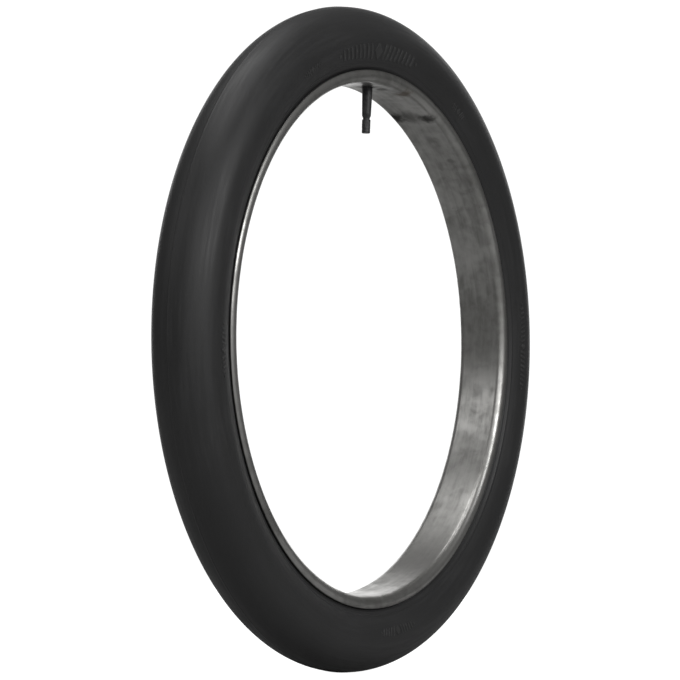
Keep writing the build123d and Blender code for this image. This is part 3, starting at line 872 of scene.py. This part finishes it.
# ---------------------------------------------------------------- valve
def build_stem():
    """The moulded rubber of the valve stem, with its round foot."""
    valve = settings("valve")
    rim = settings("rim")
    hook, tip = rim_hook(rim)
    bed = hook[1] - rim.hook_radius
    foot = STEM_HIGH.z - valve.foot_thickness
    shoulder = bed - valve.taper_length
    neck = shoulder - valve.chamfer_length
    bore = valve.insert_radius
    bm = bmesh.new()
    pen = Pen(bm, (bore, STEM_HIGH.z), valve_place)
    pen.line(valve.foot_radius, STEM_HIGH.z, steps=2)
    pen.line(valve.foot_radius, foot)
    pen.line(valve.root_radius, foot, steps=2)
    pen.line(valve.root_radius, bed, steps=3)
    pen.line(valve.shoulder_radius, shoulder, steps=12)
    pen.line(valve.shoulder_radius - 0.35 * MM, shoulder - 0.45 * MM)
    pen.line(valve.neck_radius + 0.2 * MM, neck + 0.25 * MM, steps=3)
    pen.line(valve.neck_radius, neck)
    pen.line(valve.neck_radius, CAP_HIGH.z + 0.25 * MM, steps=2)
    pen.line(bore, CAP_HIGH.z + 0.25 * MM)
    pen.line(bore, STEM_HIGH.z, steps=1)
    bmesh.ops.remove_doubles(bm, verts=bm.verts, dist=1e-6)
    spin_ring(bm, (0, 0, 1), 72)
    # Eight low moulded flutes run down the stem.
    for vert in bm.verts:
        radius = hypot(vert.co.x, vert.co.y)
        if shoulder - 0.1 * MM < vert.co.z < bed - 4 * MM and radius > valve.neck_radius:
            wave = cos(8 * atan2(vert.co.y, vert.co.x))
            vert.co.x *= 1 + 0.012 * wave
            vert.co.y *= 1 + 0.012 * wave
    return bm


def build_insert():
    """The brass insert, with a real screw thread below the rubber."""
    valve = settings("valve")
    mouth = INSERT_LOW.z
    root = valve.thread_radius - valve.thread_depth
    thread_top = CAP_HIGH.z - 0.5 * MM
    bore = 2.55 * MM
    chamber = 1.9 * MM
    bm = bmesh.new()
    pen = Pen(bm, (bore, mouth), valve_place)
    pen.line(root - 0.1 * MM, mouth)
    pen.line(root, mouth + 0.1 * MM)
    pen.line(root, thread_top)
    pen.line(valve.insert_radius - 0.05 * MM, thread_top)
    pen.line(valve.insert_radius - 0.05 * MM, INSERT_HIGH.z)
    pen.line(1.3 * MM, INSERT_HIGH.z)
    pen.line(1.3 * MM, mouth + 26 * MM)
    pen.line(chamber, mouth + 26 * MM)
    pen.line(chamber, mouth + 8 * MM)
    pen.line(bore, mouth + 6.5 * MM)
    pen.line(bore, mouth)
    bmesh.ops.remove_doubles(bm, verts=bm.verts, dist=1e-6)
    spin_ring(bm, (0, 0, 1), 48)
    tooth = bmesh.new()
    corners = (
        (root - 0.1 * MM, -0.36), (valve.thread_radius, -0.06),
        (valve.thread_radius, 0.06), (root - 0.1 * MM, 0.36),
    )
    verts = [
        tooth.verts.new((radius, 0, mouth + (0.6 + share) * valve.thread_pitch))
        for radius, share in corners
    ]
    tooth.faces.new(verts)
    turns = int((thread_top - mouth) / valve.thread_pitch - 1.2)
    bmesh.ops.spin(
        tooth, geom=tooth.verts[:] + tooth.edges[:] + tooth.faces[:], cent=(0, 0, 0),
        axis=(0, 0, 1), dvec=(0, 0, valve.thread_pitch / 36), angle=2 * pi * turns,
        steps=36 * turns, use_duplicate=False,
    )
    bmesh.ops.recalc_face_normals(tooth, faces=tooth.faces)
    mesh = bpy.data.meshes.new("thread")
    tooth.to_mesh(mesh)
    tooth.free()
    bm.from_mesh(mesh)
    bpy.data.meshes.remove(mesh)
    return bm


def build_cap():
    """The screw cap: a ribbed grip, a groove and a plain rounded end."""
    valve = settings("valve")
    top, end = CAP_HIGH.z, CAP_LOW.z
    outer = CAP_HIGH.x
    bore = valve.thread_radius + 0.06 * MM
    groove = end + 4.6 * MM
    bm = bmesh.new()
    pen = Pen(bm, (bore, top - 0.3 * MM), valve_place)
    pen.line(bore + 0.25 * MM, top)
    pen.line(outer - 0.45 * MM, top)
    pen.arc((outer - 0.45 * MM, top - 0.45 * MM), -90, 4)
    pen.line(outer, groove + 0.5 * MM, steps=8)
    pen.line(outer - 0.35 * MM, groove + 0.25 * MM)
    pen.line(outer - 0.35 * MM, groove - 0.15 * MM)
    pen.line(outer - 0.05 * MM, groove - 0.4 * MM)
    pen.line(outer - 0.05 * MM, end + 0.8 * MM, steps=3)
    pen.arc((outer - 0.85 * MM, end + 0.8 * MM), -90, 6)
    pen.line(0.0, end, steps=2)
    spun = bm.verts[:]
    pen.line(0.0, end + 1.1 * MM)
    pen.line(bore, end + 1.1 * MM, steps=2)
    pen.line(bore, top - 0.3 * MM, steps=4)
    bmesh.ops.remove_doubles(bm, verts=bm.verts, dist=1e-6)
    sides = 12 * valve.cap_ribs
    spin_ring(bm, (0, 0, 1), sides)
    for vert in bm.verts:
        radius = hypot(vert.co.x, vert.co.y)
        on_grip = groove + 0.6 * MM < vert.co.z < top - 0.7 * MM
        if on_grip and radius > outer - 0.1 * MM:
            wave = cos(valve.cap_ribs * atan2(vert.co.y, vert.co.x))
            depth = 0.20 * MM * (0.5 - 0.5 * wave) ** 2
            vert.co.x *= 1 - depth / radius
            vert.co.y *= 1 - depth / radius
    return bm


class TIRE_OT_valve(bpy.types.Operator):
    """Build the valve stem, its brass insert and its cap"""

    bl_idname = "tire_part.valve"
    bl_label = "Valve"

    def execute(self, context):
        valve = settings("valve")
        rubber = plain_finish("stem_rubber", valve.rubber, (0.036, 0.036, 0.036), 0.48, scale=260)
        plastic = plain_finish("cap_plastic", valve.plastic, (0.033, 0.033, 0.034), 0.38, scale=500)
        brass = plain_finish("valve_brass", valve.brass, (0.42, 0.30, 0.13), 0.34, metallic=1.0)
        stem = finish_piece(build_stem(), "valve_stem", WHEEL, rubber, sharp=40)
        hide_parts("valve_stem_rubber")
        insert = finish_piece(build_insert(), "brass_insert", WHEEL, brass)
        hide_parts("valve_insert")
        cap = finish_piece(build_cap(), "screw_cap", "valve_cap", plastic, sharp=40)
        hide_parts("valve_cap")
        return {"FINISHED"}


class TIRE_OT_hidden(bpy.types.Operator):
    """Give the pieces inside the tire and the valve their finishes"""

    bl_idname = "tire_part.hidden"
    bl_label = "Inner pieces"

    def execute(self, context):
        brass = bpy.data.materials["valve_brass"]
        finishes = {
            "casing_ply": woven("ply_cord", (0.17, 0.14, 0.11), (0.05, 0.04, 0.035), 2400),
            "breaker": woven("breaker_canvas", (0.30, 0.24, 0.17), (0.10, 0.08, 0.06), 1500),
            "chafer": woven("chafer_canvas", (0.13, 0.11, 0.09), (0.04, 0.035, 0.03), 1800),
            "bead_core": plain_finish("hard_rubber", (0.018,) * 3, (0.03,) * 3, 0.42),
            "inner_tube": plain_finish("tube_rubber", (0.04,) * 3, (0.065,) * 3, 0.5, scale=60),
            "rim_flap": plain_finish("flap_rubber", (0.055, 0.05, 0.045), (0.09, 0.08, 0.07), 0.7),
            "core_barrel_seal": plain_finish("core_gasket", (0.75, 0.75, 0.71), (0.6, 0.58, 0.5), 0.5),
            "core_cup_seal": plain_finish("seal_rubber", (0.025,) * 3, (0.04,) * 3, 0.6),
            "core_spring": plain_finish("spring_steel", (0.55, 0.55, 0.56), (0.4, 0.4, 0.4), 0.3, 1.0),
        }
        finishes["cap_seal"] = finishes["core_cup_seal"]
        for name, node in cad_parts.items():
            if node.hide_render:
                continue
            key = next((k for k in finishes if name.startswith(k)), None)
            material = finishes[key] if key else brass
            for slot_index in range(len(node.material_slots)):
                node.material_slots[slot_index].material = material
        return {"FINISHED"}


# ---------------------------------------------------------------- stage
def add_area(name, place, target, size, power):
    """A soft box at a place, facing a target."""
    lamp = bpy.data.lights.new(name, "AREA")
    lamp.shape = "RECTANGLE"
    lamp.size, lamp.size_y = size
    lamp.energy = power
    light = bpy.data.objects.new(name, lamp)
    bpy.context.scene.collection.objects.link(light)
    light.location = place
    light.rotation_euler = (Vector(target) - Vector(place)).to_track_quat("-Z", "Y").to_euler()
    return light


def add_floor(stage):
    """The pale floor that the wheel stands on."""
    material, tree, shader = new_material("studio_floor", Roughness=0.9)
    shader.inputs["Base Color"].default_value = (*stage.floor_tone, 1)
    shader.inputs["Emission Color"].default_value = (1, 1, 1, 1)
    path = add_node(tree, "ShaderNodeLightPath")
    seen = maths(tree, "MULTIPLY", path.outputs["Is Camera Ray"], stage.floor_glow)
    join(tree, seen, shader.inputs["Emission Strength"])
    shader.inputs["Specular IOR Level"].default_value = 0.0
    bm = bmesh.new()
    bmesh.ops.create_grid(bm, x_segments=2, y_segments=2, size=stage.floor_size / 2)
    bmesh.ops.translate(bm, verts=bm.verts, vec=(0, 0, TREAD_LOW.z))
    mesh = bpy.data.meshes.new("floor")
    bm.to_mesh(mesh)
    bm.free()
    floor = bpy.data.objects.new("floor", mesh)
    bpy.context.scene.collection.objects.link(floor)
    mesh.materials.append(material)


def add_world(stage):
    """A white backdrop that gives a softer, dimmer light than it shows."""
    world = bpy.data.worlds.new("studio")
    bpy.context.scene.world = world
    world.use_nodes = True
    tree = world.node_tree
    tree.nodes.clear()
    out = add_node(tree, "ShaderNodeOutputWorld")
    mix = add_node(tree, "ShaderNodeMixShader")
    path = add_node(tree, "ShaderNodeLightPath")
    dim = add_node(tree, "ShaderNodeBackground", Color=(1, 1, 1, 1), Strength=stage.ambient)
    white = add_node(tree, "ShaderNodeBackground", Color=(1, 1, 1, 1), Strength=1.1)
    join(tree, path.outputs["Is Camera Ray"], mix.inputs["Fac"])
    join(tree, dim.outputs[0], mix.inputs[1])
    join(tree, white.outputs[0], mix.inputs[2])
    join(tree, mix.outputs[0], out.inputs["Surface"])


class TIRE_OT_stage(bpy.types.Operator):
    """Set up the floor, the lights and the camera"""

    bl_idname = "tire_part.stage"
    bl_label = "Stage"

    def execute(self, context):
        stage = settings("stage")
        add_floor(stage)
        add_world(stage)
        add_area("key_box", (-0.5, -3.0, 1.25), (0, 0, 0), (1.6, 0.9), stage.key_power)
        add_area("fill_box", (-2.6, -2.4, 1.3), (0, 0, 0), (2.6, 1.8), stage.fill_power)
        add_area("top_box", (-0.5, 0.2, 2.6), (0, 0, 0.2), (2.4, 1.6), stage.top_power)
        add_area("rear_box", (-2.3, 1.5, 1.5), (0, 0, 0), (1.2, 1.4), stage.rear_power)
        add_area("backdrop", (3.0, 1.9, 0.75), (0, 0, 0.2), (5.0, 2.6), stage.back_power)
        turn, tilt = radians(stage.azimuth), radians(stage.elevation)
        back = Vector((sin(turn) * cos(tilt), -cos(turn) * cos(tilt), sin(tilt)))
        camera_data = bpy.data.cameras.new("camera")
        camera_data.lens = stage.lens
        camera = bpy.data.objects.new("camera", camera_data)
        context.scene.collection.objects.link(camera)
        camera.location = back * stage.distance
        look = Vector(stage.aim) - camera.location
        turned = look.to_track_quat("-Z", "Y") @ Quaternion((0, 0, 1), radians(stage.roll))
        camera.rotation_euler = turned.to_euler()
        context.scene.camera = camera
        context.scene.view_settings.view_transform = "Standard"
        return {"FINISHED"}


# ---------------------------------------------------------------- panel and registration
OPERATORS = (TIRE_OT_skin, TIRE_OT_marks, TIRE_OT_rim, TIRE_OT_valve, TIRE_OT_hidden, TIRE_OT_stage)


class TIRE_PT_panel(bpy.types.Panel):
    """Lists the sizes, the colours and the building steps"""

    bl_idname = "TIRE_PT_panel"
    bl_label = "Motorcycle tire"
    bl_space_type = "VIEW_3D"
    bl_region_type = "UI"
    bl_category = "Tire"

    def draw(self, context):
        for name, group in GROUPS:
            box = self.layout.box()
            box.label(text=name.capitalize())
            for key in group.__annotations__:
                box.prop(settings(name), key)
        for operator in OPERATORS:
            self.layout.operator(operator.bl_idname)


def register():
    """Registers the settings, the operators and the panel."""
    for name, group in GROUPS:
        bpy.utils.register_class(group)
        setattr(bpy.types.Scene, f"tire_part_{name}", PointerProperty(type=group))
    for kind in (*OPERATORS, TIRE_PT_panel):
        bpy.utils.register_class(kind)


def unregister():
    """Takes the panel, the operators and the settings out again."""
    for kind in reversed((*OPERATORS, TIRE_PT_panel)):
        bpy.utils.unregister_class(kind)
    for name, group in reversed(GROUPS):
        delattr(bpy.types.Scene, f"tire_part_{name}")
        bpy.utils.unregister_class(group)


def main():
    """Builds every piece."""
    register()
    for step in ("skin", "marks", "rim", "valve", "hidden", "stage"):
        getattr(bpy.ops.tire_part, step)()


if __name__ == "__main__":
    main()
